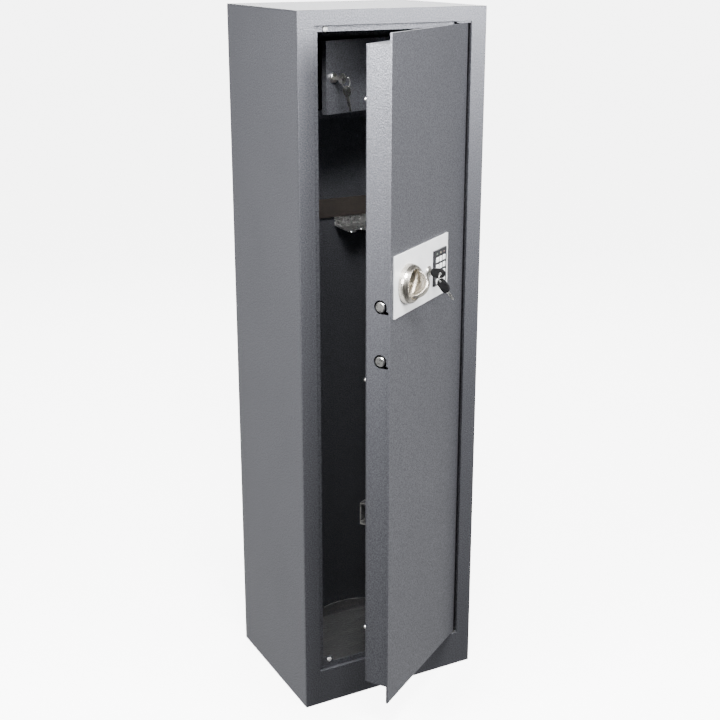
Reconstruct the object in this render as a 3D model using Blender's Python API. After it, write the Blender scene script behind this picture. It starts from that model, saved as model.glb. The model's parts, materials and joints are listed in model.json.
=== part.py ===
"""A tall, narrow gun cabinet with an electronic lock, modelled at rest with its door part open.

Units are metres, +Z is up, +X is the hinge side and -Y is the front. The origin is on the
floor under the middle of the cabinet. Pieces of a door are given where they lie with that
door shut, and an empty on the hinge axis turns them to where the door stands at rest.
"""

from math import cos, pi, radians, sin

import bmesh
import bpy
from mathutils import Vector

# Cabinet
WIDTH = 0.410
DEPTH = 0.330
HEIGHT = 1.450
SHEET = 0.0025
GAP = 0.0003
FRAME_SHEET = 0.003
SIDE_STILE = 0.034
TOP_RAIL = 0.0285
BOTTOM_RAIL = 0.080
STOP_RECESS = 0.008
STOP_REACH = 0.011
EDGE_ROUND = 0.0018

HALF_W = WIDTH / 2
FRONT_Y = -DEPTH / 2
BACK_Y = DEPTH / 2
OPEN_X = HALF_W - SIDE_STILE
OPEN_LOW = BOTTOM_RAIL
OPEN_HIGH = HEIGHT - TOP_RAIL
STOP_Y = FRONT_Y + STOP_RECESS

# Door and its hinge
DOOR_ANGLE = radians(33.7)
DOOR_SHEET = 0.004
DOOR_CLEAR = 0.003
DOOR_LOW = OPEN_LOW + 0.004
DOOR_HIGH = OPEN_HIGH - 0.0035
FOLD_RADIUS = 0.012
PIVOT = Vector((OPEN_X - DOOR_CLEAR - FOLD_RADIUS, FRONT_Y + FOLD_RADIUS, 0.0))
DOOR_EDGE_X = -(OPEN_X - DOOR_CLEAR)
PLATE_BACK_Y = FRONT_Y + DOOR_SHEET
BOX_EDGE_X = DOOR_EDGE_X + 0.014
BOX_HINGE_X = 0.140
BOX_LOW = 0.112
BOX_HIGH = 1.397
BOX_BACK_Y = FRONT_Y + 0.059
BOX_SHEET = 0.002
PIN_RADIUS = 0.004
BUSH_RADIUS = 0.0077

# Lock panel and keypad
PANEL_X = (-0.158, 0.077)
PANEL_Z = (0.899, 1.019)
PANEL_THICK = 0.003
PANEL_BACK_Y = FRONT_Y - GAP
PANEL_FRONT_Y = PANEL_BACK_Y - PANEL_THICK
KNOB_X = -0.105
KNOB_Z = 0.957
KEY_LOCK_X = -0.015
KEY_LOCK_Z = 0.959
KEYPAD_X = (0.0070, 0.0620)
KEYPAD_Z = (0.9235, 0.9945)
KEYPAD_THICK = 0.004
KEY_COLUMNS = 3
KEY_ROWS = 4
BUTTON_W = 0.0106
BUTTON_H = 0.0094
BUTTON_PITCH_X = 0.0152
BUTTON_PITCH_Z = 0.0145
BUTTON_CLEAR = 0.0005

# Knob grip
GRIP_LEAN = radians(33)
GRIP_REACH = 0.027
GRIP_FOOT = 0.0135
GRIP_SHOULDER = 0.0166
GRIP_RISE = 0.0274
GRIP_THICK = 0.012

# Bolt work
BOLT_RADIUS = 0.010
BOLT_Y = -0.137
BOLT_HEIGHTS = (0.918, 0.811)
BOLT_TIP_X = BOX_EDGE_X - 0.002
BOLT_LENGTH = 0.060
BOLT_HOLE_RADIUS = 0.0135
BOLT_TRAVEL = 0.018
CRANK_RADIUS = 0.018
CARRIAGE_Y = (-0.1265, -0.1235)
CARRIAGE_X = (-0.1310, -0.0830)
CARRIAGE_Z = (0.800, 0.986)
PLUNGER_X = -0.117

# Inner compartment
INNER_ANGLE = radians(18.5)
INNER_PIVOT = Vector((0.165, 0.029, 0.0))
INNER_WIDTH = 0.2716
INNER_LOW = 1.2435
INNER_HIGH = 1.3855
INNER_CLEAR = 0.002
INNER_DEEP = 0.012
SHELF_Z = 1.2235
INNER_LOCK_S = 0.0185
INNER_LOCK_Z = 1.3147

# Keys
KEY_BLADE = 0.0022
RING_WIRE = 0.0009


def clear_scene():
    for obj in list(bpy.data.objects):
        bpy.data.objects.remove(obj)


def material(name, colour, roughness, metallic):
    made = bpy.data.materials.new(name)
    made.use_nodes = True
    shader = made.node_tree.nodes["Principled BSDF"]
    shader.inputs["Base Color"].default_value = (*colour, 1.0)
    shader.inputs["Roughness"].default_value = roughness
    shader.inputs["Metallic"].default_value = metallic
    return made


def make_materials():
    return {
        "body": material("hammered_grey", (0.16, 0.165, 0.175), 0.45, 0.3),
        "inside": material("inside_black", (0.02, 0.02, 0.022), 0.7, 0.0),
        "steel": material("bright_steel", (0.75, 0.74, 0.72), 0.25, 1.0),
        "nickel": material("satin_nickel", (0.72, 0.69, 0.64), 0.3, 1.0),
        "silver": material("silver_panel", (0.72, 0.73, 0.75), 0.35, 0.2),
        "plastic": material("black_plastic", (0.03, 0.03, 0.032), 0.5, 0.0),
        "button": material("button_white", (0.82, 0.83, 0.84), 0.4, 0.0),
        "rubber": material("stop_rubber", (0.35, 0.35, 0.35), 0.6, 0.0),
        "carpet": material("carpet_grey", (0.06, 0.06, 0.065), 0.95, 0.0),
        "plated": material("zinc_plated", (0.6, 0.6, 0.58), 0.35, 1.0),
    }


def hinge_empty(name, pivot, angle):
    """An empty on a vertical hinge axis, turned to where its door stands."""
    empty = bpy.data.objects.new(name, None)
    bpy.context.scene.collection.objects.link(empty)
    empty.location = pivot
    empty.rotation_euler = (0, 0, angle)
    return empty


def add_object(name, mesh, at, look, parent):
    """Links the mesh at a place given with its door shut."""
    obj = bpy.data.objects.new(name, mesh)
    bpy.context.scene.collection.objects.link(obj)
    if look is not None:
        mesh.materials.append(look)
    if parent is None:
        obj.location = at
    else:
        obj.parent = parent
        obj.location = Vector(at) - parent.location
    return obj


def mesh_from(name, points, faces):
    mesh = bpy.data.meshes.new(name)
    mesh.from_pydata([tuple(p) for p in points], [], faces)
    edit = bmesh.new()
    edit.from_mesh(mesh)
    bmesh.ops.recalc_face_normals(edit, faces=edit.faces)
    edit.to_mesh(mesh)
    edit.free()
    return mesh


def round_edges(obj, width, segments=2):
    bevel = obj.modifiers.new("rounded_edges", "BEVEL")
    bevel.width = width
    bevel.segments = segments
    bevel.limit_method = "ANGLE"
    bevel.angle_limit = radians(35)
    return obj


def box(name, low, high, look, parent=None, rounded=0.0, segments=2):
    """A block between two corners, with its origin in its middle."""
    low = Vector(low)
    high = Vector(high)
    middle = (low + high) / 2
    half = (high - low) / 2
    signs = [(x, y, z) for x in (-1, 1) for y in (-1, 1) for z in (-1, 1)]
    points = [(half.x * x, half.y * y, half.z * z) for x, y, z in signs]
    faces = [(0, 1, 3, 2), (4, 6, 7, 5), (0, 4, 5, 1), (2, 3, 7, 6), (0, 2, 6, 4), (1, 5, 7, 3)]
    obj = add_object(name, mesh_from(name, points, faces), middle, look, parent)
    if rounded:
        round_edges(obj, rounded, segments)
    return obj


def arc(centre, radius, start, end, steps):
    """Points of an arc in a plane, its angles in degrees."""
    angles = [radians(start + (end - start) * i / steps) for i in range(steps + 1)]
    return [(centre[0] + radius * cos(a), centre[1] + radius * sin(a)) for a in angles]


def axes_of(along):
    """The two directions that an outline's u and v take, for a thickness along X, Y or Z."""
    return {
        "X": (Vector((0, 1, 0)), Vector((0, 0, 1)), Vector((1, 0, 0))),
        "Y": (Vector((1, 0, 0)), Vector((0, 0, 1)), Vector((0, 1, 0))),
        "Z": (Vector((1, 0, 0)), Vector((0, 1, 0)), Vector((0, 0, 1))),
    }[along]


def prism(name, outline, along, span, at, look, parent=None, rounded=0.0):
    """An outline pulled straight along an axis, from span[0] to span[1] beyond its place."""
    u, v, w = axes_of(along)
    count = len(outline)
    points = [u * a + v * b + w * depth for depth in span for a, b in outline]
    sides = [(i, (i + 1) % count, (i + 1) % count + count, i + count) for i in range(count)]
    faces = [tuple(range(count)), tuple(range(count, 2 * count)), *sides]
    obj = add_object(name, mesh_from(name, points, faces), at, look, parent)
    if rounded:
        round_edges(obj, rounded)
    return obj


def turned(name, profile, along, at, look, parent=None, steps=24, smooth=True):
    """A profile of (radius, distance) turned about an axis. A radius of 0 closes an end."""
    u, v, w = axes_of(along)
    points = []
    rings = []
    for radius, distance in profile:
        if radius == 0:
            rings.append([len(points)])
            points.append(w * distance)
            continue
        rings.append(list(range(len(points), len(points) + steps)))
        turn = [2 * pi * i / steps for i in range(steps)]
        points += [u * radius * cos(a) + v * radius * sin(a) + w * distance for a in turn]
    pairs = list(zip(rings, rings[1:]))
    if profile[0][0] and profile[-1][0]:
        pairs.append((rings[-1], rings[0]))
    faces = []
    for one, two in pairs:
        for i in range(steps):
            j = (i + 1) % steps
            if len(one) == 1:
                faces.append((one[0], two[i], two[j]))
            elif len(two) == 1:
                faces.append((one[i], two[0], one[j]))
            else:
                faces.append((one[i], two[i], two[j], one[j]))
    obj = add_object(name, mesh_from(name, points, faces), at, look, parent)
    if smooth:
        obj.data.shade_smooth()
        obj.data.set_sharp_from_angle(angle=radians(40))
    return obj


def rect_sweep(name, stations, look, parent=None, rounded=0.0):
    """A closed profile carried round a rectangle. A station is (x low, x high, z low, z high, y)."""
    points = []
    for left, right, low, high, y in stations:
        points += [(left, y, low), (right, y, low), (right, y, high), (left, y, high)]
    origin = parent.location if parent else Vector((0, 0, 0))
    faces = []
    count = len(stations)
    for i in range(count):
        here, there = 4 * i, 4 * ((i + 1) % count)
        faces += [(here + k, here + (k + 1) % 4, there + (k + 1) % 4, there + k) for k in range(4)]
    shifted = [Vector(p) - origin for p in points]
    obj = add_object(name, mesh_from(name, shifted, faces), origin, look, parent)
    if rounded:
        round_edges(obj, rounded)
    return obj


def helper(obj):
    """Marks a shape that only cuts or joins another."""
    obj.hide_render = True
    obj.display_type = "WIRE"
    return obj


def combine(obj, other, operation):
    helper(other)
    step = obj.modifiers.new(other.name, "BOOLEAN")
    step.operation = operation
    step.solver = "EXACT"
    step.object = other
    # A bevel comes last, so that it also rounds what was cut.
    for index, modifier in enumerate(obj.modifiers):
        if modifier.type == "BEVEL" and index < len(obj.modifiers) - 1:
            obj.modifiers.move(index, len(obj.modifiers) - 1)
            break
    return obj


def cut(obj, other):
    return combine(obj, other, "DIFFERENCE")


def join(obj, other):
    return combine(obj, other, "UNION")


# ---------------------------------------------------------------- cabinet shell


def make_shell(looks):
    body = looks["body"]
    side_front = FRONT_Y + FRAME_SHEET + GAP
    for name, low_x in (("left_side_panel", -HALF_W), ("right_side_panel", HALF_W - SHEET)):
        low = (low_x, side_front, 0)
        high = (low_x + SHEET, BACK_Y, HEIGHT - SHEET - GAP)
        box(name, low, high, body)
    inner_x = HALF_W - SHEET - GAP
    back_low = (-inner_x, BACK_Y - SHEET, 0)
    box("back_panel", back_low, (inner_x, BACK_Y, HEIGHT - SHEET - GAP), body)
    top_low = (-HALF_W, side_front, HEIGHT - SHEET)
    box("top_panel", top_low, (HALF_W, BACK_Y, HEIGHT), body)
    floor_high = (inner_x, BACK_Y - SHEET - GAP, SHEET)
    box("floor_panel", (-inner_x, side_front, 0), floor_high, body)


def make_front_frame(looks):
    """The folded front: a flat face with a lip turned back all round the opening."""
    opening = (-OPEN_X, OPEN_X, OPEN_LOW, OPEN_HIGH)
    lip = FRAME_SHEET
    behind = (-OPEN_X - lip, OPEN_X + lip, OPEN_LOW - lip, OPEN_HIGH + lip)
    outside = (-HALF_W, HALF_W, 0, HEIGHT)
    back = FRONT_Y + FRAME_SHEET
    stations = [
        (*opening, FRONT_Y),
        (*outside, FRONT_Y),
        (*outside, back),
        (*behind, back),
        (*behind, STOP_Y),
        (*opening, STOP_Y),
    ]
    rect_sweep("front_frame", stations, looks["body"], rounded=0.0012)


def make_stop_strips(looks):
    """Three strips welded behind the opening, which the shut door rests against."""
    body = looks["body"]
    front = STOP_Y + GAP
    back = front + SHEET
    behind = 0.009
    top_edge = OPEN_HIGH - STOP_REACH
    low_edge = OPEN_LOW + STOP_REACH
    hinge_end = 0.136
    left_edge = -OPEN_X + STOP_REACH
    top_low = (-OPEN_X - behind, front, top_edge)
    box("top_stop_strip", top_low, (hinge_end, back, OPEN_HIGH + behind), body)
    left_low = (-OPEN_X - behind, front, low_edge + GAP)
    box("left_stop_strip", left_low, (left_edge, back, top_edge - GAP), body)
    ear_x = -0.138
    ear_z = 0.1055
    start = left_edge + GAP
    outline = [
        (-OPEN_X - behind, OPEN_LOW - behind),
        (hinge_end, OPEN_LOW - behind),
        (hinge_end, low_edge),
        *arc((ear_x + 0.006, low_edge + 0.006), 0.006, 270, 180, 3),
        *arc((ear_x - 0.006, ear_z - 0.006), 0.006, 0, 90, 4),
        (start, ear_z),
        (start, low_edge),
        (-OPEN_X - behind, low_edge),
    ]
    prism("bottom_stop_strip", outline, "Y", (0, SHEET), (0, front, 0), body)


def make_bumpers(looks):
    """Domed rubber buttons on the stop strips."""
    radius = 0.0052
    tall = 0.0034
    face = STOP_Y
    profile = [(0, 0), (radius, 0), (radius, -0.6 * tall), (0.6 * radius, -tall), (0, -tall)]
    rubber = looks["rubber"]
    turned("upper_stop_bumper", profile, "Y", (-0.1445, face, 1.4158), rubber, steps=16)
    turned("lower_stop_bumper", profile, "Y", (-0.1465, face, 0.0985), rubber, steps=16)


def make_hinge_pins(looks):
    """At each end a plate in the opening's edge with a pin that the door turns on."""
    thick = 0.0025
    reach = 0.030
    plate_x = (0.138, OPEN_X - 0.0015)
    plate_y = (FRONT_Y + 0.0008, FRONT_Y + 0.024)
    places = (("lower_hinge_pin", OPEN_LOW + GAP, 1), ("upper_hinge_pin", OPEN_HIGH - GAP, -1))
    for name, face, up in places:
        ends = sorted((face, face + up * thick))
        low = (plate_x[0], plate_y[0], ends[0])
        plate = box(name, low, (plate_x[1], plate_y[1], ends[1]), looks["plated"])
        ends = sorted((face + up * thick / 2, face + up * reach))
        profile = [(0, ends[1]), (PIN_RADIUS, ends[1]), (PIN_RADIUS, ends[0]), (0, ends[0])]
        pin = turned(name + "_join", profile, "Z", PIVOT, None, steps=20)
        join(plate, pin)


def make_floor_carpet(looks):
    side = HALF_W - SHEET - 0.002
    low = (-side, STOP_Y + SHEET + 0.002, SHEET + GAP)
    high = (side, BACK_Y - SHEET - 0.002, SHEET + GAP + 0.006)
    box("floor_carpet", low, high, looks["carpet"])


# ---------------------------------------------------------------- inner compartment and rack


def make_inner_shelf(looks):
    """The compartment's floor: a tray with its front edge turned up."""
    side = HALF_W - SHEET - GAP
    front = INNER_PIVOT.y
    back = BACK_Y - SHEET - GAP
    lip_top = INNER_LOW - INNER_CLEAR
    outline = [
        (front, SHELF_Z),
        (back, SHELF_Z),
        (back, SHELF_Z + SHEET),
        (front + SHEET, SHELF_Z + SHEET),
        (front + SHEET, lip_top),
        (front, lip_top),
    ]
    prism("inner_shelf", outline, "X", (-side, side), (0, 0, 0), looks["inside"])


def make_inner_front(looks):
    """The compartment's fixed front: one sheet that frames the door's top and both sides."""
    side = HALF_W - SHEET - GAP
    low = INNER_LOW - INNER_CLEAR + GAP
    high = INNER_HIGH + INNER_CLEAR
    door_left = INNER_PIVOT.x - INNER_WIDTH - INNER_CLEAR
    door_right = INNER_PIVOT.x + INNER_CLEAR
    top = HEIGHT - SHEET - GAP
    outline = [
        (-side, low),
        (door_left, low),
        (door_left, high),
        (door_right, high),
        (door_right, low),
        (side, low),
        (side, top),
        (-side, top),
    ]
    at = (0, INNER_PIVOT.y, 0)
    prism("inner_front_frame", outline, "Y", (0, SHEET), at, looks["inside"])


def make_inner_door(looks, hinge):
    """A pan: a face with its edges turned back, drilled for the lock."""
    left = INNER_PIVOT.x - INNER_WIDTH
    right = INNER_PIVOT.x
    front = INNER_PIVOT.y
    rim = 0.002
    low = (left, front, INNER_LOW)
    pan = box("inner_door", low, (right, front + INNER_DEEP, INNER_HIGH), looks["inside"], hinge)
    hollow_low = (left + rim, front + rim, INNER_LOW + rim)
    hollow_high = (right - rim, front + INNER_DEEP + 0.01, INNER_HIGH - rim)
    cut(pan, box("inner_door_hollow", hollow_low, hollow_high, None, hinge))
    hole = [(0, 0.01), (0.0085, 0.01), (0.0085, -0.01), (0, -0.01)]
    at = (left + INNER_LOCK_S, front, INNER_LOCK_Z)
    cut(pan, turned("inner_door_hole", hole, "Y", at, None, hinge))


def make_inner_lock(looks, hinge):
    at = Vector((INNER_PIVOT.x - INNER_WIDTH + INNER_LOCK_S, INNER_PIVOT.y, INNER_LOCK_Z))
    bore = 0.0062
    barrel = 0.0080
    flange = 0.0100
    profile = [
        (bore, -0.005),
        (flange - 0.001, -0.005),
        (flange, -0.004),
        (flange, -GAP),
        (barrel, -GAP),
        (barrel, 0.0130),
        (bore, 0.0130),
    ]
    turned("inner_lock_body", profile, "Y", at, looks["nickel"], hinge)
    plug_radius = bore - GAP
    profile = [(0, -0.0045), (plug_radius, -0.0045), (plug_radius, 0.0140), (0, 0.0140)]
    plug = turned("inner_lock_plug", profile, "Y", at, looks["nickel"], hinge)
    slot = (0.0016, 0.0050)
    low = at + Vector((-slot[0], -0.01, -slot[1]))
    cut(plug, box("inner_key_slot", low, at + Vector((slot[0], 0.012, slot[1])), None, hinge))
    cam_low = at + Vector((-0.004, 0.0134, -0.004))
    cam = box("inner_cam_join", cam_low, at + Vector((0.004, 0.0158, 0.024)), None, hinge)
    join(plug, cam)


def make_gun_rack(looks):
    """A steel rest for the barrels: a notched tray turned up against the back wall."""
    left, right = 0.034, 0.194
    back = BACK_Y - SHEET - GAP
    front = 0.086
    low = 0.9665
    notch = 0.0135
    centres = (0.062, 0.110, 0.158)
    outline = [(left, back), (left, front)]
    for x in centres:
        outline.append((x - notch, front))
        outline += arc((x, front + 0.004), notch, 180, 0, 8)
        outline.append((x + notch, front))
    outline += [(right, front), (right, back)]
    tray = prism("gun_rack", outline, "Z", (low, low + SHEET), (0, 0, 0), looks["plated"])
    wall_low = (left, back - SHEET, low + SHEET / 2)
    join(tray, box("rack_wall_join", wall_low, (right, back, 1.007), None))


# ---------------------------------------------------------------- keys


def key_outline(bow, bow_radius, bow_straight, tip, width):
    """A key in its own plane, lying along u, with its bow centred at u = bow."""
    half = width / 2
    near, far = bow + bow_straight / 2, bow - bow_straight / 2
    start = near + 0.9 * bow_radius
    teeth = [(0.0, -0.2), (0.004, 0.5), (0.008, 0.2), (0.012, 0.6), (0.016, 0.3), (0.018, 1.0)]
    outline = arc((near, 0), bow_radius, 25, 85, 4)
    outline += arc((far, 0), bow_radius, 95, 265, 10)
    outline += arc((near, 0), bow_radius, 275, 335, 4)
    outline += [(start, -half), (tip - 0.003, -half)]
    outline += [(tip - back, half * rise) for back, rise in teeth]
    return outline + [(start, half)]


def turned_outline(outline, angle, at):
    """The outline turned in its plane and moved."""
    turn_cos, turn_sin = cos(angle), sin(angle)
    return [(at[0] + u * turn_cos - v * turn_sin, at[1] + u * turn_sin + v * turn_cos) for u, v in outline]


def make_key(name, outline, thick, hole, at, look, hinge):
    """A flat key in a plane across the door, with a hole in its bow for the ring."""
    key = prism(name, outline, "X", (-thick / 2, thick / 2), at, look, hinge)
    profile = [(0, 0.01), (0.0024, 0.01), (0.0024, -0.01), (0, -0.01)]
    centre = Vector(at) + Vector((0, hole[0], hole[1]))
    cut(key, turned(name + "_hole", profile, "X", centre, None, hinge, steps=12))
    return key


def make_ring(name, radius, tilt, at, look, hinge):
    """A wire ring that hangs from a point, leaning out from the door by tilt."""
    down = Vector((0, -sin(tilt), -cos(tilt)))
    across = Vector((1, 0, 0))
    facing = across.cross(down)
    steps, sides = 28, 6
    points = []
    for i in range(steps):
        turn = 2 * pi * i / steps
        outward = across * sin(turn) - down * cos(turn)
        for k in range(sides):
            lean = 2 * pi * k / sides
            wire = outward * (RING_WIRE * cos(lean)) + facing * (RING_WIRE * sin(lean))
            points.append(down * radius + outward * radius + wire)
    faces = []
    for i in range(steps):
        for k in range(sides):
            here, there = sides * i, sides * ((i + 1) % steps)
            after = (k + 1) % sides
            faces.append((here + k, here + after, there + after, there + k))
    ring = add_object(name, mesh_from(name, points, faces), at, look, hinge)
    ring.data.shade_smooth()
    return ring


def make_key_set(prefix, at, hinge, look, sizes):
    """A key in its lock and, hanging from its bow, a ring with the spare key leaning out."""
    bow = sizes["bow"]
    radius = sizes["bow_radius"]
    hole = sizes["hole"]
    tilt = sizes["ring_tilt"]
    straight = sizes["bow_straight"]
    inserted = key_outline(-bow, radius, straight, sizes["inside"], sizes["blade"])
    make_key(prefix + "_key", inserted, sizes["thick"], hole, at, look, hinge)
    hang = Vector(at) + Vector((0, hole[0], hole[1]))
    make_ring(prefix + "_key_ring", sizes["ring"], tilt, hang, look, hinge)
    down = 2 * sizes["ring"]
    spare = key_outline(sizes["spare_bow"], radius, straight, sizes["spare_tip"], sizes["blade"])
    heading = -pi / 2 - sizes["spare_lean"]
    place = (-down * sin(tilt), -down * cos(tilt))
    spare = turned_outline(spare, heading, place)
    make_key(prefix + "_spare_key", spare, sizes["thick"], place, hang, look, hinge)


def make_inner_keys(looks, hinge):
    at = (INNER_PIVOT.x - INNER_WIDTH + INNER_LOCK_S, INNER_PIVOT.y, INNER_LOCK_Z)
    sizes = {
        "bow": 0.0255,
        "bow_radius": 0.0105,
        "bow_straight": 0.0,
        "hole": (-0.0325, 0.0055),
        "inside": 0.0095,
        "blade": 0.0070,
        "thick": KEY_BLADE,
        "ring_tilt": radians(12),
        "spare_lean": radians(12),
        "ring": 0.0115,
        "spare_bow": 0.0065,
        "spare_tip": 0.047,
    }
    make_key_set("inner", at, hinge, looks["steel"], sizes)


def make_override_keys(looks, hinge):
    at = (KEY_LOCK_X, PANEL_FRONT_Y, KEY_LOCK_Z)
    sizes = {
        "bow": 0.0215,
        "bow_radius": 0.0090,
        "bow_straight": 0.012,
        "hole": (-0.0275, 0.0),
        "inside": 0.0150,
        "blade": 0.0074,
        "thick": KEY_BLADE,
        "ring_tilt": 0.0,
        "spare_lean": radians(38),
        "ring": 0.0080,
        "spare_bow": 0.0100,
        "spare_tip": 0.043,
    }
    make_key_set("override", at, hinge, looks["plastic"], sizes)


# ---------------------------------------------------------------- door


def drill(obj, name, radius, along, at, hinge, reach=0.02, steps=24):
    profile = [(0, reach), (radius, reach), (radius, -reach), (0, -reach)]
    return cut(obj, turned(name, profile, along, at, None, hinge, steps=steps))


def make_door_plate(looks, hinge):
    """The outer sheet, rolled round the hinge axis and turned back behind it."""
    inner_radius = FOLD_RADIUS - DOOR_SHEET
    fold = (PIVOT.x, PIVOT.y)
    return_end = PIVOT.y + 0.010
    outline = [
        (DOOR_EDGE_X, PLATE_BACK_Y),
        (DOOR_EDGE_X, FRONT_Y),
        *arc(fold, FOLD_RADIUS, 270, 360, 10),
        (PIVOT.x + FOLD_RADIUS, return_end),
        (PIVOT.x + inner_radius, return_end),
        *arc(fold, inner_radius, 360, 270, 8),
    ]
    outline = [(x - PIVOT.x, y - PIVOT.y) for x, y in outline]
    span = (DOOR_LOW, DOOR_HIGH)
    plate = prism("door_plate", outline, "Z", span, PIVOT, looks["body"], hinge)
    drill(plate, "plate_spindle_hole", 0.0075, "Y", (KNOB_X, FRONT_Y, KNOB_Z), hinge)
    drill(plate, "plate_lock_hole", 0.0095, "Y", (KEY_LOCK_X, FRONT_Y, KEY_LOCK_Z), hinge)
    plate.data.shade_smooth()
    plate.data.set_sharp_from_angle(angle=radians(25))


def make_door_box(looks, hinge):
    """The four walls of the bolt case behind the door's sheet, with the bolts' holes."""
    outside = (BOX_EDGE_X, BOX_HINGE_X, BOX_LOW, BOX_HIGH)
    wall = BOX_SHEET
    inside = (outside[0] + wall, outside[1] - wall, outside[2] + wall, outside[3] - wall)
    front = PLATE_BACK_Y + GAP
    back = BOX_BACK_Y - BOX_SHEET - GAP
    stations = [(*inside, front), (*outside, front), (*outside, back), (*inside, back)]
    case = rect_sweep("door_box", stations, looks["body"], hinge)
    tail_y = front + 0.0035
    tail = 0.0035
    for order, height in enumerate(BOLT_HEIGHTS):
        outline = [
            (tail_y - BOLT_Y, -BOLT_HOLE_RADIUS),
            (tail_y - BOLT_Y, -BOLT_HOLE_RADIUS + tail),
            *arc((0, 0), BOLT_HOLE_RADIUS, 210, -90, 20),
        ]
        at = (BOX_EDGE_X, BOLT_Y, height)
        name = f"bolt_hole_{order + 1}"
        cut(case, prism(name, outline, "X", (-0.01, 0.01), at, None, hinge))


def make_back_cover(looks, hinge):
    back = BOX_BACK_Y
    low = (BOX_EDGE_X, back - BOX_SHEET, BOX_LOW)
    cover = box("door_back_cover", low, (BOX_HINGE_X, back, BOX_HIGH), looks["body"], hinge)
    round_edges(cover, 0.0012)
    profile = [(0, GAP), (0.0046, GAP), (0.0046, 0.0025), (0.0036, 0.0050), (0.0018, 0.0062), (0, 0.0065)]
    for name, height in (("upper", 1.300), ("middle", 0.768), ("lower", 0.235)):
        at = (BOX_EDGE_X + 0.0062, back, height)
        turned(f"{name}_cover_nut", profile, "Y", at, looks["steel"], hinge, steps=16)
    thick = 0.002
    leg = 0.014
    start, end = back + GAP, back + GAP + leg
    outline = [
        (start, 0),
        (end, 0),
        (end, 0.046),
        (start, 0.046),
        (start, 0.046 - thick),
        (end - thick, 0.046 - thick),
        (end - thick, thick),
        (start, thick),
    ]
    span = (BOX_EDGE_X + 0.004, BOX_EDGE_X + 0.022)
    prism("door_bracket", outline, "X", span, (0, 0, 0.463), looks["plated"], hinge)


def make_hinge_bushes(looks, hinge):
    bore = PIN_RADIUS + GAP
    for name, low in (("lower_hinge_bush", DOOR_LOW + 0.002), ("upper_hinge_bush", DOOR_HIGH - 0.024)):
        profile = [(bore, 0), (BUSH_RADIUS, 0), (BUSH_RADIUS, 0.022), (bore, 0.022)]
        turned(name, profile, "Z", (PIVOT.x, PIVOT.y, low), looks["plated"], hinge, steps=20)


def make_lock_panel(looks, hinge):
    low = (PANEL_X[0], PANEL_FRONT_Y, PANEL_Z[0])
    high = (PANEL_X[1], PANEL_BACK_Y, PANEL_Z[1])
    panel = box("lock_panel", low, high, looks["silver"], hinge)
    drill(panel, "panel_spindle_hole", 0.0075, "Y", (KNOB_X, FRONT_Y, KNOB_Z), hinge)
    drill(panel, "panel_lock_hole", 0.0095, "Y", (KEY_LOCK_X, FRONT_Y, KEY_LOCK_Z), hinge)
    round_edges(panel, 0.0006)


def button_places():
    """The middle of each button, row by row from the top left."""
    middle = (KEYPAD_X[0] + KEYPAD_X[1]) / 2
    lowest = KEYPAD_Z[0] + 0.0085
    for row in range(KEY_ROWS):
        for column in range(KEY_COLUMNS):
            x = middle + (column - (KEY_COLUMNS - 1) / 2) * BUTTON_PITCH_X
            yield x, lowest + (KEY_ROWS - 1 - row) * BUTTON_PITCH_Z


def make_keypad(looks, hinge):
    """The housing, a pocket through it for each button, and the buttons."""
    back = PANEL_FRONT_Y - GAP
    front = back - KEYPAD_THICK
    low = (KEYPAD_X[0], front, KEYPAD_Z[0])
    high = (KEYPAD_X[1], back, KEYPAD_Z[1])
    housing = box("keypad_housing", low, high, looks["plastic"], hinge)
    half = Vector((BUTTON_W / 2 + BUTTON_CLEAR, 0.01, BUTTON_H / 2 + BUTTON_CLEAR))
    for order, (x, z) in enumerate(button_places(), start=1):
        middle = Vector((x, front, z))
        pocket = box(f"button_pocket_{order:02d}", middle - half, middle + half, None, hinge)
        cut(housing, pocket)
        button_low = (x - BUTTON_W / 2, front - 0.0010, z - BUTTON_H / 2)
        button_high = (x + BUTTON_W / 2, back - 0.0020, z + BUTTON_H / 2)
        box(f"button_{order:02d}", button_low, button_high, looks["button"], hinge, 0.0005, 1)


def make_override_lock(looks, hinge):
    bore = 0.0062
    barrel = 0.0090
    flange = 0.0115
    face = -0.0040
    profile = [
        (bore, face),
        (flange - 0.0015, face),
        (flange, face + 0.0015),
        (flange, -GAP),
        (barrel, -GAP),
        (barrel, 0.0340),
        (bore, 0.0340),
    ]
    at = Vector((KEY_LOCK_X, PANEL_FRONT_Y, KEY_LOCK_Z))
    turned("override_lock_body", profile, "Y", at, looks["nickel"], hinge)
    radius = bore - GAP
    profile = [(0, face + 0.0005), (radius, face + 0.0005), (radius, 0.0350), (0, 0.0350)]
    plug = turned("override_lock_plug", profile, "Y", at, looks["nickel"], hinge)
    slot = Vector((0.0016, 0.018, 0.0050))
    cut(plug, box("override_key_slot", at - slot, at + slot, None, hinge))
    cam_low = at + Vector((-0.004, 0.0344, -0.018))
    cam = box("override_cam_join", cam_low, at + Vector((0.004, 0.0374, 0.004)), None, hinge)
    join(plug, cam)


def grip_point(along, out, across):
    """A place on the knob's grip: along its foot, out from the door, and across its thickness."""
    turn_cos, turn_sin = cos(GRIP_LEAN), sin(GRIP_LEAN)
    return Vector((along * turn_sin + across * turn_cos, -out, along * turn_cos - across * turn_sin))


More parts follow.
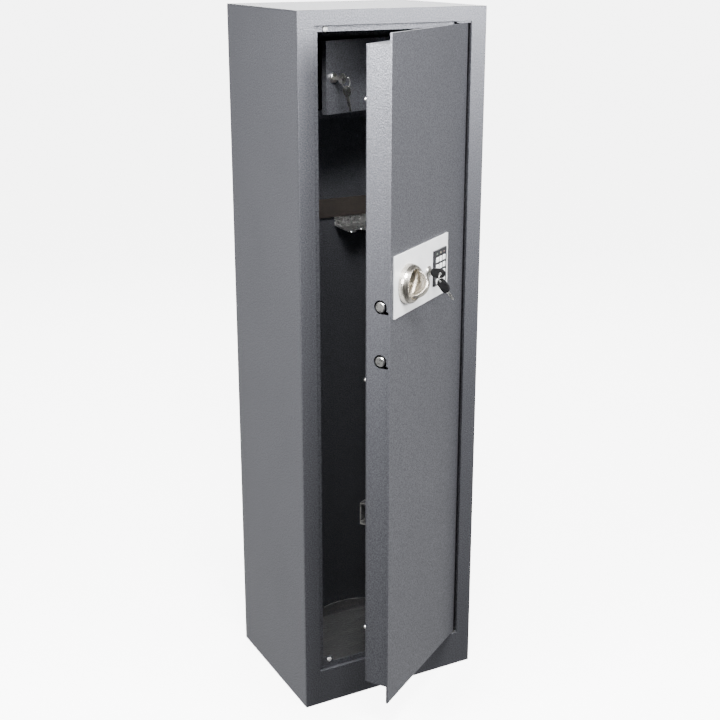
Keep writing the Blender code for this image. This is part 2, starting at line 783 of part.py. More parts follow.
def grip_dish(name, side, at, hinge):
    """Half an ellipsoid that hollows one side of the grip."""
    long, tall, deep = GRIP_REACH - 0.0026, GRIP_RISE - 0.0028, 0.0046
    turns, leans = 16, 8

    def place(turn, lean):
        out = GRIP_SHOULDER + tall * sin(turn) * cos(lean)
        across = side * GRIP_THICK / 2 + deep * sin(lean)
        return grip_point(long * cos(turn) * cos(lean), out, across)

    points = [place(0, -pi / 2), place(0, pi / 2)]
    rows = []
    for i in range(turns + 1):
        first = len(points)
        points += [place(pi * i / turns, pi * k / leans - pi / 2) for k in range(1, leans)]
        rows.append([0, *range(first, len(points)), 1])
    faces = [rows[0] + rows[-1][-2:0:-1]]
    for before, after in zip(rows, rows[1:]):
        faces += [(0, before[1], after[1]), (1, after[-2], before[-2])]
        for k in range(1, leans - 1):
            faces.append((before[k], before[k + 1], after[k + 1], after[k]))
    return add_object(name, mesh_from(name, points, faces), at, None, hinge)


def grip_outline(inset):
    """The grip seen from its side, a half-disc on a straight foot, drawn in by inset."""
    reach = GRIP_REACH - inset
    outline = [(-reach, GRIP_FOOT + inset), (reach, GRIP_FOOT + inset)]
    for x, y in arc((0, 0), 1.0, 0, 180, 24):
        outline.append((reach * x, GRIP_SHOULDER + (GRIP_RISE - inset) * y))
    return outline


def make_grip(at, hinge):
    """A half-disc with its edges broken, hollowed on both sides."""
    half, edge = GRIP_THICK / 2, 0.0012
    sections = [(-half, edge), (edge - half, 0.0), (half - edge, 0.0), (half, edge)]
    points = []
    for across, inset in sections:
        points += [grip_point(along, out, across) for along, out in grip_outline(inset)]
    count = len(points) // len(sections)
    last = len(points) - count
    faces = [tuple(range(count)), tuple(range(last, len(points)))]
    for i in range(last):
        after = i + 1 if (i + 1) % count else i + 1 - count
        faces.append((i, after, after + count, i + count))
    grip = add_object("knob_grip", mesh_from("knob_grip", points, faces), at, None, hinge)
    for name, side in (("grip_dish_near", -1), ("grip_dish_far", 1)):
        cut(grip, grip_dish(name, side, at, hinge))
    return grip


def make_knob(looks, hinge):
    """A domed ring round a recess, and a half-disc grip on a spindle that comes out of it."""
    at = Vector((KNOB_X, PANEL_FRONT_Y, KNOB_Z))
    collar = 0.0070
    recess = 0.0025
    profile = [
        (collar, -GAP),
        (collar, -recess),
        (0.0288, -recess),
        (0.0292, -0.0168),
        (0.0302, -0.0178),
        (0.0314, -0.0180),
        (0.0338, -0.0168),
        (0.0362, -0.0136),
        (0.0376, -0.0096),
        (0.0380, -0.0050),
        (0.0380, -GAP),
    ]
    turned("knob_rosette", profile, "Y", at, looks["nickel"], hinge, steps=56)
    hub = 0.0056
    hub_top = -(GRIP_FOOT + 0.0021)
    profile = [(0, hub_top), (hub, hub_top), (hub, 0.0370), (0, 0.0370)]
    knob = turned("knob", profile, "Y", at, looks["nickel"], hinge, steps=32)
    join(knob, make_grip(at, hinge))
    knob.data.set_sharp_from_angle(angle=radians(35))


def make_bolt_work(looks, hinge):
    """Crank, carriage and two round bolts, drawn in at rest, and the lock's solenoid."""
    plated = looks["plated"]
    at = Vector((KNOB_X, PANEL_FRONT_Y, KNOB_Z))
    crank_front = 0.0374
    pin_x = CRANK_RADIUS * sin(radians(30))
    pin_z = CRANK_RADIUS * cos(radians(30))
    corners = [(-0.006, -0.007), (0.006, -0.007), (0.006, 0.0235), (-0.006, 0.0235)]
    outline = turned_outline(corners, radians(-30), (0, 0))
    thick = 0.0030
    crank = prism("knob_crank", outline, "Y", (crank_front, crank_front + thick), at, plated, hinge)
    pin_at = at + Vector((pin_x, 0, pin_z))
    profile = [(0, crank_front + 0.001), (0.0025, crank_front + 0.001), (0.0025, 0.0475), (0, 0.0475)]
    join(crank, turned("crank_pin", profile, "Y", pin_at, None, hinge, steps=16))

    low = (CARRIAGE_X[0], CARRIAGE_Y[0], CARRIAGE_Z[0])
    high = (CARRIAGE_X[1], CARRIAGE_Y[1], CARRIAGE_Z[1])
    carriage = box("bolt_carriage", low, high, plated, hinge)
    half_slot = Vector((0.0029, 0.01, 0.0060))
    slot_at = Vector((KNOB_X + pin_x, CARRIAGE_Y[0], KNOB_Z + pin_z + 0.0012))
    cut(carriage, box("crank_slot", slot_at - half_slot, slot_at + half_slot, None, hinge))
    notch = Vector((0.0040, 0.01, 0.0060))
    for order, x in enumerate((PLUNGER_X, PLUNGER_X + BOLT_TRAVEL), start=1):
        middle = Vector((x, CARRIAGE_Y[0], CARRIAGE_Z[0]))
        cut(carriage, box(f"lock_notch_{order}", middle - notch, middle + notch, None, hinge))

    end = BOLT_LENGTH
    radius = BOLT_RADIUS
    profile = [(0, 0), (radius - 0.0015, 0), (radius, 0.0015), (radius, end), (0, end)]
    for name, height in zip(("upper_locking_bolt", "lower_locking_bolt"), BOLT_HEIGHTS):
        tip = (BOLT_TIP_X, BOLT_Y, height)
        turned(name, profile, "X", tip, looks["steel"], hinge, steps=32)

    mid_y = (CARRIAGE_Y[0] + CARRIAGE_Y[1]) / 2
    bore = 0.0036
    profile = [(bore, 0), (0.0110, 0), (0.0110, 0.034), (bore, 0.034)]
    bottom = (PLUNGER_X, mid_y, CARRIAGE_Z[0] - 0.042)
    turned("solenoid_body", profile, "Z", bottom, plated, hinge)
    profile = [(0, 0.006), (0.0030, 0.006), (0.0030, 0.0400), (0, 0.0400)]
    turned("solenoid_plunger", profile, "Z", bottom, looks["steel"], hinge, steps=16)
    battery_low = (0.005, -0.150, 1.045)
    box("battery_box", battery_low, (0.075, -0.120, 1.125), looks["plastic"], hinge, 0.002, 1)


def main():
    clear_scene()
    looks = make_materials()
    make_shell(looks)
    make_front_frame(looks)
    make_stop_strips(looks)
    make_bumpers(looks)
    make_hinge_pins(looks)
    make_floor_carpet(looks)
    make_inner_shelf(looks)
    make_inner_front(looks)
    make_gun_rack(looks)

    inner_hinge = hinge_empty("inner_door_hinge", INNER_PIVOT, INNER_ANGLE)
    make_inner_door(looks, inner_hinge)
    make_inner_lock(looks, inner_hinge)
    make_inner_keys(looks, inner_hinge)

    door_hinge = hinge_empty("door_hinge", PIVOT, DOOR_ANGLE)
    make_door_plate(looks, door_hinge)
    make_door_box(looks, door_hinge)
    make_back_cover(looks, door_hinge)
    make_hinge_bushes(looks, door_hinge)
    make_lock_panel(looks, door_hinge)
    make_keypad(looks, door_hinge)
    make_override_lock(looks, door_hinge)
    make_override_keys(looks, door_hinge)
    make_knob(looks, door_hinge)
    make_bolt_work(looks, door_hinge)


main()
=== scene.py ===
"""Looks for the gun safe: materials, small trim, the carpet, studio light and the camera.

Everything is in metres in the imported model's frame: +Z up, -Y the front, +X the hinge side.
"""

import json
from math import acos, cos, pi, radians, sin

import bmesh
import bpy
from mathutils import Matrix, Vector, noise


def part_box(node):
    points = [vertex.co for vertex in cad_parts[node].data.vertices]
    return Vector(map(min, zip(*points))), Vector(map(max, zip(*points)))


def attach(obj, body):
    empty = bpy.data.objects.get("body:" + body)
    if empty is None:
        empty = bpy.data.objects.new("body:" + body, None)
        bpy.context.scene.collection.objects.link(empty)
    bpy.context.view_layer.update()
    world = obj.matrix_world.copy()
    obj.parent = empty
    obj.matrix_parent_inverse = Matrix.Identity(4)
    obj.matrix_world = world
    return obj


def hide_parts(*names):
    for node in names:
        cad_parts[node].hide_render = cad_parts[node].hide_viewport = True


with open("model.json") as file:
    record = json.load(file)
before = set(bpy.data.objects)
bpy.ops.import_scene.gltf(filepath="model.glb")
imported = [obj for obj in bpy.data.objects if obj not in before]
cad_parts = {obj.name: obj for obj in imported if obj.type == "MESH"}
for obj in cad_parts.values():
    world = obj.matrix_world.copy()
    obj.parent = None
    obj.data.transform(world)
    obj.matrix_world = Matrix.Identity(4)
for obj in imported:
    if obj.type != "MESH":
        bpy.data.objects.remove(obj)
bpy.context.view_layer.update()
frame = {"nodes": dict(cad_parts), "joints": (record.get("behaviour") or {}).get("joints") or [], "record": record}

NODES = frame["nodes"]
BODY_OF = {
    node: body for body, nodes in frame["record"]["behaviour"]["bodies"].items() for node in nodes
}
JOINTS = {joint["name"]: joint for joint in frame["joints"]}
DOOR_ANGLE = radians(-JOINTS["door_swing"]["range_deg"][0])
DOOR_TURN = Matrix.Rotation(DOOR_ANGLE, 4, "Z")

# Directions on the door as it stands, and where the override key's ring hangs from.
OUTWARD = DOOR_TURN.to_3x3() @ Vector((0, -1, 0))
ACROSS = DOOR_TURN.to_3x3() @ Vector((1, 0, 0))
ON_DOOR = Matrix((ACROSS, Vector((0, 0, 1)), OUTWARD)).transposed().to_4x4()
LOCK_FACE = Vector(JOINTS["override_key_turn"]["pos_m"])
HANG = Vector(JOINTS["hanging_key_swing"]["pos_m"])

# Sizes of the small trim
BOARD_LOW = 0.988
BOARD_HIGH = 1.030
BOARD_THICK = 0.0035
KEY_RING_DROP = 0.0160
HEAD_OFFSET = 0.0060
SPARE_HEAD_OFFSET = 0.0100
LENS_RADIUS = 0.0015
LENS_RISE = 0.0009
PRINT_SIZE = 0.0072


# ---------------------------------------------------------------- node materials


class Surface:
    """A Principled material with helpers for the textures that feed it."""

    def __init__(self, name, **sockets):
        self.material = bpy.data.materials.new(name)
        self.material.use_nodes = True
        self.tree = self.material.node_tree
        self.shader = self.tree.nodes["Principled BSDF"]
        for socket, value in sockets.items():
            self.shader.inputs[socket.replace("_", " ")].default_value = value
        self.place = self.node("ShaderNodeTexCoord").outputs["Object"]
        self.height = None

    def node(self, kind, **settings):
        made = self.tree.nodes.new(kind)
        for key, value in settings.items():
            setattr(made, key, value)
        return made

    def link(self, source, target):
        self.tree.links.new(source, target)

    def stretched(self, scale):
        mapping = self.node("ShaderNodeMapping")
        mapping.inputs["Scale"].default_value = scale
        self.link(self.place, mapping.inputs["Vector"])
        return mapping.outputs["Vector"]

    def noise(self, size, detail=2.0, rough=0.5, place=None):
        """Noise whose features are about size metres across, from 0 to 1."""
        made = self.node("ShaderNodeTexNoise")
        made.inputs["Scale"].default_value = 1.0 / size
        made.inputs["Detail"].default_value = detail
        made.inputs["Roughness"].default_value = rough
        self.link(place or self.place, made.inputs["Vector"])
        return made.outputs["Fac"]

    def cells(self, size, smooth=0.6):
        """Distance to the nearest of points about size metres apart."""
        made = self.node("ShaderNodeTexVoronoi", feature="SMOOTH_F1")
        made.inputs["Scale"].default_value = 1.0 / size
        made.inputs["Smoothness"].default_value = smooth
        self.link(self.place, made.inputs["Vector"])
        return made.outputs["Distance"]

    def remap(self, value, low, high, to_low, to_high):
        made = self.node("ShaderNodeMapRange")
        for socket, number in zip(("From Min", "From Max", "To Min", "To Max"), (low, high, to_low, to_high)):
            made.inputs[socket].default_value = number
        self.link(value, made.inputs["Value"])
        return made.outputs["Result"]

    def mix(self, amount, first, second):
        """A colour between two; each is a colour or another node's output."""
        made = self.node("ShaderNodeMix", data_type="RGBA")
        self.link(amount, made.inputs["Factor"])
        for socket, value in ((made.inputs[6], first), (made.inputs[7], second)):
            if isinstance(value, tuple):
                socket.default_value = (*value, 1.0)
            else:
                self.link(value, socket)
        return made.outputs[2]

    def colour(self, output):
        self.link(output, self.shader.inputs["Base Color"])

    def rough(self, output):
        self.link(output, self.shader.inputs["Roughness"])

    def bump(self, value, depth, strength=1.0):
        """Relief of about depth metres; several add up."""
        made = self.node("ShaderNodeBump")
        made.inputs["Distance"].default_value = depth
        made.inputs["Strength"].default_value = strength
        self.link(value, made.inputs["Height"])
        if self.height is not None:
            self.link(self.height, made.inputs["Normal"])
        self.height = made.outputs["Normal"]
        self.link(self.height, self.shader.inputs["Normal"])


def hammered_paint(name, dark, light, rough=0.42, depth=0.00022):
    """Powder coat that has drawn up into a fine orange peel with metallic flecks."""
    s = Surface(name, Metallic=0.75, IOR=1.5)
    peel = s.noise(0.0025, 2.0, 0.55)
    fleck = s.noise(0.0011, 1.0, 0.5)
    cloud = s.noise(0.20, 3.0, 0.6)
    tone = s.mix(s.remap(peel, 0.36, 0.66, 0.0, 1.0), dark, light)
    bright = tuple(min(1.0, 1.8 * c) for c in light)
    tone = s.mix(s.remap(fleck, 0.64, 0.78, 0.0, 0.60), tone, bright)
    worn = tuple(0.86 * c for c in dark)
    tone = s.mix(s.remap(cloud, 0.35, 0.70, 0.0, 0.15), tone, worn)
    s.colour(tone)
    s.rough(s.remap(peel, 0.3, 0.7, rough + 0.06, rough - 0.06))
    s.bump(s.cells(0.0034), depth, 0.7)
    s.bump(peel, depth, 0.9)
    return s.material


def plated(name, colour, rough=0.28):
    """Bright zinc with faint blotches and fine rubbed lines."""
    s = Surface(name, Metallic=1.0)
    blotch = s.noise(0.006, 3.0, 0.6)
    lines = s.noise(0.0006, 2.0, 0.6, s.stretched((1.0, 1.0, 0.05)))
    dull = tuple(0.72 * c for c in colour)
    s.colour(s.mix(s.remap(blotch, 0.35, 0.7, 0.0, 1.0), colour, dull))
    s.rough(s.remap(blotch, 0.3, 0.7, rough - 0.06, rough + 0.12))
    s.bump(lines, 0.00004, 0.5)
    return s.material


def turned_nickel(name, colour, axis_point, axis_turn, rough=0.26):
    """Satin nickel with the fine rings that turning leaves about its axis."""
    s = Surface(name, Metallic=1.0, Anisotropic=0.45)
    mapping = s.node("ShaderNodeMapping", vector_type="TEXTURE")
    mapping.inputs["Location"].default_value = axis_point
    mapping.inputs["Rotation"].default_value = (0.0, 0.0, axis_turn)
    s.link(s.place, mapping.inputs["Vector"])
    rings = s.node("ShaderNodeTexWave", wave_type="RINGS", rings_direction="Y")
    rings.inputs["Scale"].default_value = 420.0
    rings.inputs["Distortion"].default_value = 1.5
    rings.inputs["Detail"].default_value = 3.0
    s.link(mapping.outputs["Vector"], rings.inputs["Vector"])
    smudge = s.noise(0.012, 3.0, 0.6)
    dull = tuple(0.80 * c for c in colour)
    s.colour(s.mix(s.remap(smudge, 0.35, 0.7, 0.0, 1.0), colour, dull))
    s.rough(s.remap(rings.outputs["Fac"], 0.0, 1.0, rough - 0.05, rough + 0.10))
    s.bump(rings.outputs["Fac"], 0.00001, 0.25)
    return s.material


def satin_plate(name, colour):
    """Silver lacquered sheet with a very fine grain."""
    s = Surface(name, Metallic=0.25, Coat_Weight=0.15, Coat_Roughness=0.2)
    grain = s.noise(0.0005, 2.0, 0.6)
    cloud = s.noise(0.03, 2.0, 0.5)
    dull = tuple(0.92 * c for c in colour)
    s.colour(s.mix(s.remap(cloud, 0.35, 0.65, 0.0, 1.0), colour, dull))
    s.rough(s.remap(grain, 0.3, 0.7, 0.30, 0.44))
    s.bump(grain, 0.00003, 0.5)
    return s.material


def moulded(name, colour, rough=0.42, size=0.0008, relief=0.00004, shine=0.5):
    """Plastic or rubber with a fine moulded grain."""
    s = Surface(name, IOR=1.46, Specular_IOR_Level=shine)
    grain = s.noise(size, 2.0, 0.6)
    cloud = s.noise(0.01, 2.0, 0.5)
    pale = tuple(min(1.0, 1.25 * c + 0.004) for c in colour)
    s.colour(s.mix(s.remap(cloud, 0.35, 0.7, 0.0, 1.0), colour, pale))
    s.rough(s.remap(grain, 0.3, 0.7, rough - 0.05, rough + 0.08))
    s.bump(grain, relief, 0.7)
    return s.material


def needle_carpet(name):
    """Short matted pile, charcoal with paler fibres."""
    s = Surface(name, Roughness=0.95, Sheen_Weight=0.25, Sheen_Roughness=0.6)
    fibre = s.noise(0.0016, 4.0, 0.7)
    tuft = s.noise(0.007, 3.0, 0.6)
    tone = s.mix(s.remap(fibre, 0.42, 0.62, 0.0, 1.0), (0.007, 0.007, 0.008), (0.046, 0.046, 0.049))
    s.colour(s.mix(s.remap(tuft, 0.40, 0.65, 0.0, 0.55), tone, (0.016, 0.016, 0.017)))
    s.bump(tuft, 0.0020, 0.6)
    s.bump(fibre, 0.0009, 0.9)
    return s.material


def hardboard(name):
    """Brown pressed board: matt, finely flecked."""
    s = Surface(name, Roughness=0.8)
    fleck = s.noise(0.0015, 3.0, 0.65)
    broad = s.noise(0.03, 2.0, 0.5)
    tone = s.mix(s.remap(fleck, 0.4, 0.65, 0.0, 1.0), (0.016, 0.0115, 0.009), (0.028, 0.021, 0.017))
    s.colour(s.mix(s.remap(broad, 0.35, 0.7, 0.0, 0.5), tone, (0.013, 0.010, 0.008)))
    s.bump(fleck, 0.0002, 0.6)
    return s.material


def lamp_lens(name, colour, glow):
    """A small tinted lens."""
    s = Surface(name, Coat_Weight=0.6, Coat_Roughness=0.08, Roughness=0.25)
    s.shader.inputs["Emission Color"].default_value = (*colour, 1.0)
    s.shader.inputs["Emission Strength"].default_value = glow
    swirl = s.noise(0.0008, 2.0, 0.5)
    s.colour(s.mix(s.remap(swirl, 0.35, 0.65, 0.0, 1.0), colour, tuple(0.7 * c for c in colour)))
    s.bump(swirl, 0.00003, 0.4)
    return s.material


def joint_place(name):
    return tuple(JOINTS[name]["pos_m"])


INNER_ANGLE = radians(-JOINTS["inner_door_swing"]["range_deg"][0])
PAINT = hammered_paint("hammered_charcoal", (0.082, 0.084, 0.095), (0.153, 0.156, 0.174))
ZINC = plated("zinc_plate", (0.72, 0.72, 0.70))
KNOB_NICKEL = turned_nickel(
    "satin_nickel_knob", (0.68, 0.64, 0.57), joint_place("knob_turn"), DOOR_ANGLE, 0.25
)
LOCK_NICKEL = turned_nickel(
    "satin_nickel_lock", (0.74, 0.72, 0.68), joint_place("override_key_turn"), DOOR_ANGLE
)
INNER_NICKEL = turned_nickel(
    "satin_nickel_inner_lock", (0.74, 0.72, 0.68), joint_place("inner_key_turn"), INNER_ANGLE
)
SILVER = satin_plate("silver_lock_plate", (0.88, 0.89, 0.90))
BLACK = moulded("black_plastic", (0.014, 0.014, 0.016), 0.38, shine=0.25)
WHITE = moulded("white_buttons", (0.78, 0.79, 0.78), 0.45)
RUBBER = moulded("grey_rubber", (0.30, 0.30, 0.30), 0.6, 0.0012, 0.0001)
CARPET = needle_carpet("needle_carpet")
BOARD = hardboard("brown_hardboard")

LOOKS = {
    "textured_paint": PAINT,
    "zinc_plate": ZINC,
    "nickel": KNOB_NICKEL,
    "lock_plate": SILVER,
    "black_plastic": BLACK,
    "button_white": WHITE,
    "dark_rubber": RUBBER,
    "carpet": CARPET,
}
OWN_LOOKS = {
    "override_lock_body": LOCK_NICKEL,
    "override_lock_plug": LOCK_NICKEL,
    "override_key_ring": ZINC,
    "override_key": ZINC,
    "override_spare_key": ZINC,
    "inner_lock_body": INNER_NICKEL,
    "inner_lock_plug": INNER_NICKEL,
    "inner_key_ring": ZINC,
    "inner_key": ZINC,
    "inner_spare_key": ZINC,
    "upper_hinge_pin": PAINT,
}


def dress_frame():
    for row in frame["record"]["subparts"]:
        look = OWN_LOOKS.get(row["node"], LOOKS[row["material_slot"]])
        mesh = NODES[row["node"]].data
        mesh.materials.clear()
        mesh.materials.append(look)


# ---------------------------------------------------------------- pieces


def add_piece(name, mesh, look, body):
    piece = bpy.data.objects.new(name, mesh)
    bpy.context.scene.collection.objects.link(piece)
    mesh.materials.clear()
    mesh.materials.append(look)
    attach(piece, body)
    return piece


def make_carpet():
    """A mat cut a little long, so that its rear edge turns up against the back panel."""
    low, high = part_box("floor_carpet")
    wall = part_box("back_panel")[0].y - 0.0015
    thick = 0.0045
    bend = 0.012
    width, straight = high.x - low.x, wall - bend - low.y
    columns, rows, curl_rows = 90, 80, 12
    bottom = low.z + 0.0002
    form = bmesh.new()
    strips = []
    for i in range(columns + 1):
        x = low.x + width * i / columns
        lift = max(0.004, 0.030 - 2.3 * (x - 0.045) ** 2) + 0.0012 * noise.noise(Vector((x * 30, 2.0, 0.7)))
        quarter = bend * pi / 2
        curl = quarter + lift - bend if lift > bend else bend * acos(1 - lift / bend)
        strip = []
        for j in range(rows + 1):
            ripple = 0.0014 * noise.noise(Vector((x * 22, j * 0.25, 0.3)))
            strip.append((x, low.y + straight * j / rows, bottom + max(0.0, ripple)))
        for j in range(1, curl_rows + 1):
            run = curl * j / curl_rows
            turn = min(run / bend, pi / 2)
            y = wall - bend + bend * sin(turn)
            strip.append((x, y, bottom + bend * (1 - cos(turn)) + max(0.0, run - quarter)))
        strips.append([form.verts.new(place) for place in strip])
    for a, b in zip(strips, strips[1:]):
        for j in range(rows + curl_rows):
            form.faces.new((a[j], b[j], b[j + 1], a[j + 1]))
    area = sum(face.calc_area() for face in form.faces)
    mesh = bpy.data.meshes.new("carpet")
    form.to_mesh(mesh)
    form.free()
    mesh.shade_smooth()
    carpet = add_piece("carpet", mesh, CARPET, "cabinet")
    skin = carpet.modifiers.new("pile", "SOLIDIFY")
    skin.thickness = thick
    skin.offset = 1.0
    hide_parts("floor_carpet")
    length = straight + bend * pi / 2 + 0.019
    area = min(area, width * length)


def rounded_block(name, low, high, radius, look, body):
    mesh = bpy.data.meshes.new(name)
    form = bmesh.new()
    bmesh.ops.create_cube(form, size=1.0)
    middle, size = (Vector(low) + Vector(high)) / 2, Vector(high) - Vector(low)
    for vertex in form.verts:
        vertex.co = Vector([middle[k] + vertex.co[k] * size[k] for k in range(3)])
    bmesh.ops.bevel(form, geom=list(form.edges), offset=radius, segments=3, profile=0.5, affect="EDGES")
    form.to_mesh(mesh)
    form.free()
    mesh.shade_smooth()
    mesh.set_sharp_from_angle(angle=radians(50))
    return add_piece(name, mesh, look, body)


def make_rack_board():
    """A strip of board across the back panel that the barrels lean on."""
    left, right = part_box("left_side_panel")[1].x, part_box("right_side_panel")[0].x
    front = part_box("gun_rack")[1].y - 0.0066
    low = (left + 0.002, front, BOARD_LOW)
    high = (right - 0.002, front + BOARD_THICK, BOARD_HIGH)
    rounded_block("rack_board", low, high, 0.0006, BOARD, "cabinet")


def make_rack_bead():
    """The rolled front edge of the barrel rest, which follows its notches."""
    low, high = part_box("gun_rack")
    notches = [
        opening["box_m"]
        for opening in frame["record"]["physics"]["openings"]
        if opening["name"].startswith("rack_notch")
    ]
    height = low.z + 0.00125
    radius, depth = 0.0135, 0.004
    path = [(low.x, high.y - 0.02, height), (low.x, low.y, height)]
    for corner, opposite in sorted(notches):
        x = (corner[0] + opposite[0]) / 2
        path.append((x - radius, low.y, height))
        for step in range(9):
            turn = pi - pi * step / 8
            path.append((x + radius * cos(turn), low.y + depth + radius * sin(turn), height))
        path.append((x + radius, low.y, height))
    path += [(high.x, low.y, height), (high.x, high.y - 0.02, height)]
    curve = bpy.data.curves.new("rack_edge_bead", "CURVE")
    curve.dimensions = "3D"
    curve.bevel_depth = 0.0015
    curve.bevel_resolution = 3
    curve.use_fill_caps = True
    line = curve.splines.new("POLY")
    line.points.add(len(path) - 1)
    for point, place in zip(line.points, path):
        point.co = (*place, 1.0)
    bead = bpy.data.objects.new("rack_edge_bead_curve", curve)
    bpy.context.scene.collection.objects.link(bead)
    mesh = bpy.data.meshes.new_from_object(bead)
    bpy.data.objects.remove(bead)
    mesh.shade_smooth()
    add_piece("rack_edge_bead", mesh, ZINC, "cabinet")


def key_direction(node, start):
    """The direction from a point to the vertex of a node that lies farthest from it."""
    reach = max((vertex.co - start for vertex in NODES[node].data.vertices), key=lambda d: d.length)
    return (reach - ACROSS * reach.dot(ACROSS)).normalized()


def make_bow(name, hole, along, offset, node, look):
    """A moulded head over a key's bow: a rounded slab whose middle lies offset from its ring hole."""
    radius, straight, half_thick, hole_radius = 0.0093, 0.012, 0.0024, 0.0026
    centre = hole + along * offset
    side = along.cross(ACROSS)
    place = Matrix((along, side, ACROSS)).transposed().to_4x4()
    place.translation = centre
    outline = []
    for end, start in ((1, -90), (-1, 90)):
        for step in range(13):
            turn = radians(start + 15 * step)
            outline.append((end * straight / 2 + radius * cos(turn), radius * sin(turn)))
    form = bmesh.new()
    face = form.faces.new([form.verts.new((x, y, -half_thick)) for x, y in outline])
    raised = bmesh.ops.extrude_face_region(form, geom=[face])["geom"]
    for vertex in (item for item in raised if isinstance(item, bmesh.types.BMVert)):
        vertex.co.z = half_thick
    bmesh.ops.recalc_face_normals(form, faces=form.faces)
    rims = [edge for edge in form.edges if abs(edge.verts[0].co.z - edge.verts[1].co.z) < 1e-6]
    bmesh.ops.bevel(form, geom=rims, offset=0.0011, segments=3, profile=0.5, affect="EDGES")
    mesh = bpy.data.meshes.new(name)
    form.to_mesh(mesh)
    form.free()
    punch_mesh = bpy.data.meshes.new("punch")
    form = bmesh.new()
    bmesh.ops.create_cone(
        form, cap_ends=True, segments=20, radius1=hole_radius, radius2=hole_radius, depth=0.02
    )
    form.transform(Matrix.Translation((-offset, 0, 0)))
    form.to_mesh(punch_mesh)
    form.free()
    punch = bpy.data.objects.new("punch", punch_mesh)
    bow = bpy.data.objects.new(name, mesh)
    for made in (punch, bow):
        bpy.context.scene.collection.objects.link(made)
    step = bow.modifiers.new("hole", "BOOLEAN")
    step.operation, step.solver, step.object = "DIFFERENCE", "EXACT", punch
    bpy.context.view_layer.update()
    done = bpy.data.meshes.new_from_object(bow.evaluated_get(bpy.context.evaluated_depsgraph_get()))
    for made in (bow, punch):
        bpy.data.objects.remove(made)
    done.transform(place)
    done.shade_smooth()
    done.set_sharp_from_angle(angle=radians(40))
    return add_piece(name, done, look, BODY_OF[node])


def make_key_heads():
    head = moulded("key_head_plastic", (0.005, 0.005, 0.0055), 0.40, 0.0009, 0.00003, 0.15)
    make_bow("override_key_head", HANG, (LOCK_FACE - HANG).normalized(), HEAD_OFFSET, "override_key", head)
    spare_hole = HANG - Vector((0, 0, KEY_RING_DROP))
    along = key_direction("override_spare_key", spare_hole)
    make_bow("override_spare_head", spare_hole, along, SPARE_HEAD_OFFSET, "override_spare_key", head)


def node_centre(node):
    """The middle of a node's vertices."""
    vertices = NODES[node].data.vertices
    return sum((vertex.co for vertex in vertices), Vector()) / len(vertices)


def front_of(node):
    """How far out from the door a node reaches, along the door's outward direction."""
    return max(vertex.co.dot(OUTWARD) for vertex in NODES[node].data.vertices)


def make_digits():
    """The character on each button, a thin printed relief."""
    ink = moulded("key_print", (0.03, 0.03, 0.035), 0.5, 0.0005, 0.00001)
    for index, mark in enumerate("123456789*0#"):
        node = f"button_{index + 1:02d}"
        curve = bpy.data.curves.new(f"print_{index + 1:02d}", "FONT")
        curve.body = mark
        curve.size = PRINT_SIZE
        curve.align_x = "CENTER"
        curve.align_y = "CENTER"
        curve.extrude = 0.00006
        text = bpy.data.objects.new(curve.name, curve)
        bpy.context.scene.collection.objects.link(text)
        centre = node_centre(node)
        centre += OUTWARD * (front_of(node) + 0.00005 - centre.dot(OUTWARD))
        text.matrix_world = Matrix.Translation(centre) @ ON_DOOR
        mesh = bpy.data.meshes.new_from_object(text)
        mesh.transform(text.matrix_world)
        bpy.data.objects.remove(text)
        add_piece(f"button_print_{index + 1:02d}", mesh, ink, BODY_OF[node])


def lens_mesh(name, centre, radius, rise):
    """A shallow dome on the door's face."""
    mesh = bpy.data.meshes.new(name)
    form = bmesh.new()
    bmesh.ops.create_uvsphere(form, u_segments=24, v_segments=12, radius=1.0)
    bmesh.ops.delete(form, geom=[v for v in form.verts if v.co.z < -0.3], context="VERTS")
    form.transform(Matrix.Translation(centre) @ ON_DOOR @ Matrix.Diagonal((radius, radius, rise, 1)))
    form.to_mesh(mesh)
    form.free()
    mesh.shade_smooth()
    return mesh


def make_lamps():
    """Three small indicator lenses in a row above the buttons."""
    columns = [node_centre(f"button_{index:02d}") for index in (1, 2, 3)]
    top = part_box("keypad_housing")[1].z
    row = (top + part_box("button_01")[1].z) / 2
    tints = (
        ("lamp_green", (0.22, 0.30, 0.23)),
        ("lamp_amber", (0.32, 0.29, 0.22)),
        ("lamp_red", (0.30, 0.20, 0.19)),
    )
    for (name, tint), column in zip(tints, columns):
        centre = Vector((column.x, column.y, row))
        centre += OUTWARD * (front_of("keypad_housing") - centre.dot(OUTWARD))
        mesh = lens_mesh(name, centre, LENS_RADIUS, LENS_RISE)
        add_piece(name, mesh, lamp_lens(name, tint, 0.05), "door")


# ---------------------------------------------------------------- light, floor, camera


def area_light(name, place, target, size, energy):
    light = bpy.data.lights.new(name, "AREA")
    light.shape = "RECTANGLE"
    light.size, light.size_y = size
    light.energy = energy
    lamp = bpy.data.objects.new(name, light)
    lamp.location = place
    lamp.rotation_euler = (Vector(target) - Vector(place)).to_track_quat("-Z", "Y").to_euler()
    bpy.context.scene.collection.objects.link(lamp)


def sweep_mesh(flat, bend, height):
    """A round paper floor that curves up into a wall on every side."""
    bends = [radians(angle) for angle in range(0, 91, 10)]
    stations = [(flat + bend * sin(turn), bend - bend * cos(turn)) for turn in bends]
    stations.append((flat + bend, height))
    steps = 72
    points = []
    for radius, rise in stations:
        for index in range(steps):
            turn = 2 * pi * index / steps
            points.append((radius * cos(turn), radius * sin(turn), rise))
    faces = [tuple(range(steps))]
    for first in range(0, len(points) - steps, steps):
        for index in range(steps):
            after = (index + 1) % steps
            faces.append((first + index, first + steps + index, first + steps + after, first + after))
    mesh = bpy.data.meshes.new("floor")
    mesh.from_pydata(points, [], faces)
    mesh.shade_smooth()
    return mesh


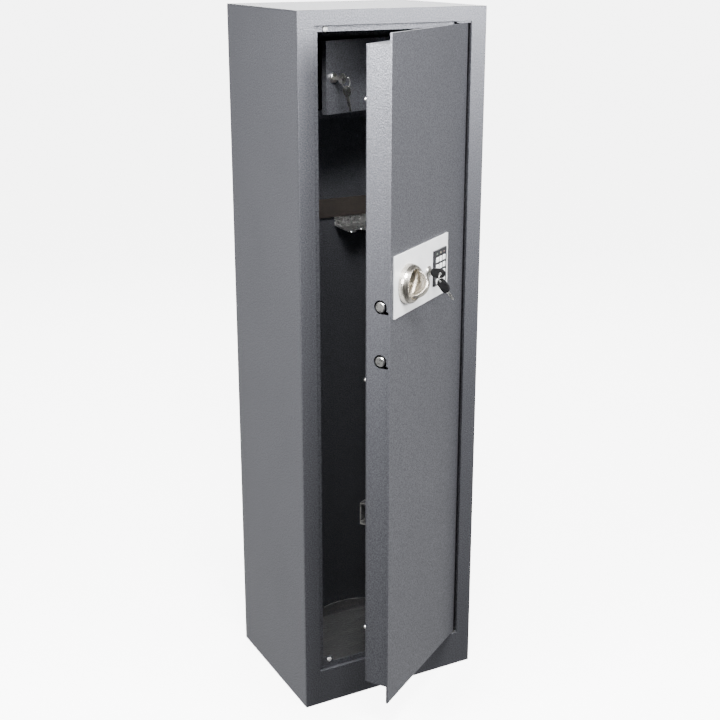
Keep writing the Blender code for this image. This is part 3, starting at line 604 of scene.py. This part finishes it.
def make_studio():
    s = Surface("floor_paper", Roughness=0.75)
    grain = s.noise(0.4, 2.0, 0.5)
    s.colour(s.mix(grain, (0.90, 0.90, 0.90), (0.92, 0.92, 0.92)))
    s.shader.inputs["Emission Color"].default_value = (1.0, 1.0, 1.0, 1.0)
    s.shader.inputs["Emission Strength"].default_value = 6.0
    floor = bpy.data.objects.new("floor", sweep_mesh(12.0, 4.0, 12.0))
    floor.data.materials.append(s.material)
    bpy.context.scene.collection.objects.link(floor)
    floor.visible_diffuse = False
    floor.visible_glossy = False
    floor.visible_shadow = False
    make_sky()
    area_light("top_front_box", (-0.45, -1.15, 2.25), (0.0, -0.1, 1.25), (0.8, 0.5), 120)
    area_light("left_box", (-2.1, -0.60, 1.90), (0.0, -0.2, 1.5), (1.1, 1.0), 180)
    area_light("right_box", (1.2, -2.2, 2.0), (0.0, -0.2, 1.3), (1.0, 1.0), 150)
    area_light("back_card", (1.2, 2.8, 2.5), (0.0, 0.0, 1.45), (3.0, 1.6), 130)


def make_sky():
    """Faint even light from above; below, a glow towards the back and right that fades in front.

    The strengths multiply the world's own colour, a dark grey of about 0.05.
    """
    world = bpy.data.worlds.new("studio")
    world.use_nodes = True
    tree = world.node_tree

    def ramp(value, low, high, start, end):
        made = tree.nodes.new("ShaderNodeMapRange")
        made.interpolation_type = "SMOOTHSTEP"
        for socket, number in zip(("From Min", "From Max"), (low, high)):
            made.inputs[socket].default_value = number
        for socket, number in zip(("To Min", "To Max"), (start, end)):
            if isinstance(number, float):
                made.inputs[socket].default_value = number
            else:
                tree.links.new(number, made.inputs[socket])
        tree.links.new(value, made.inputs["Value"])
        return made.outputs["Result"]

    place = tree.nodes.new("ShaderNodeTexCoord").outputs["Generated"]
    split = tree.nodes.new("ShaderNodeSeparateXYZ")
    side = tree.nodes.new("ShaderNodeVectorMath")
    side.operation = "DOT_PRODUCT"
    side.inputs[1].default_value = (0.45, 0.89, 0.0)
    tree.links.new(place, split.inputs["Vector"])
    tree.links.new(place, side.inputs[0])
    below = ramp(side.outputs["Value"], -0.45, 0.55, 2.20, 19.0)
    strength = ramp(split.outputs["Z"], -0.50, 0.25, below, 0.75)
    tree.links.new(strength, tree.nodes["Background"].inputs["Strength"])
    bpy.context.scene.world = world


def make_camera():
    data = bpy.data.cameras.new("camera")
    data.sensor_width = 36.0
    data.lens = 62.8
    data.shift_y = -0.035
    data.clip_start = 0.05
    data.clip_end = 100.0
    camera = bpy.data.objects.new("camera", data)
    camera.location = (-1.202, -2.279, 1.563)
    camera.rotation_euler = (radians(90 - 17.25), 0.0, radians(-28.05))
    bpy.context.scene.collection.objects.link(camera)
    bpy.context.scene.camera = camera


make_camera()
make_studio()
dress_frame()
make_carpet()
make_rack_board()
make_rack_bead()
make_digits()
make_lamps()
make_key_heads()
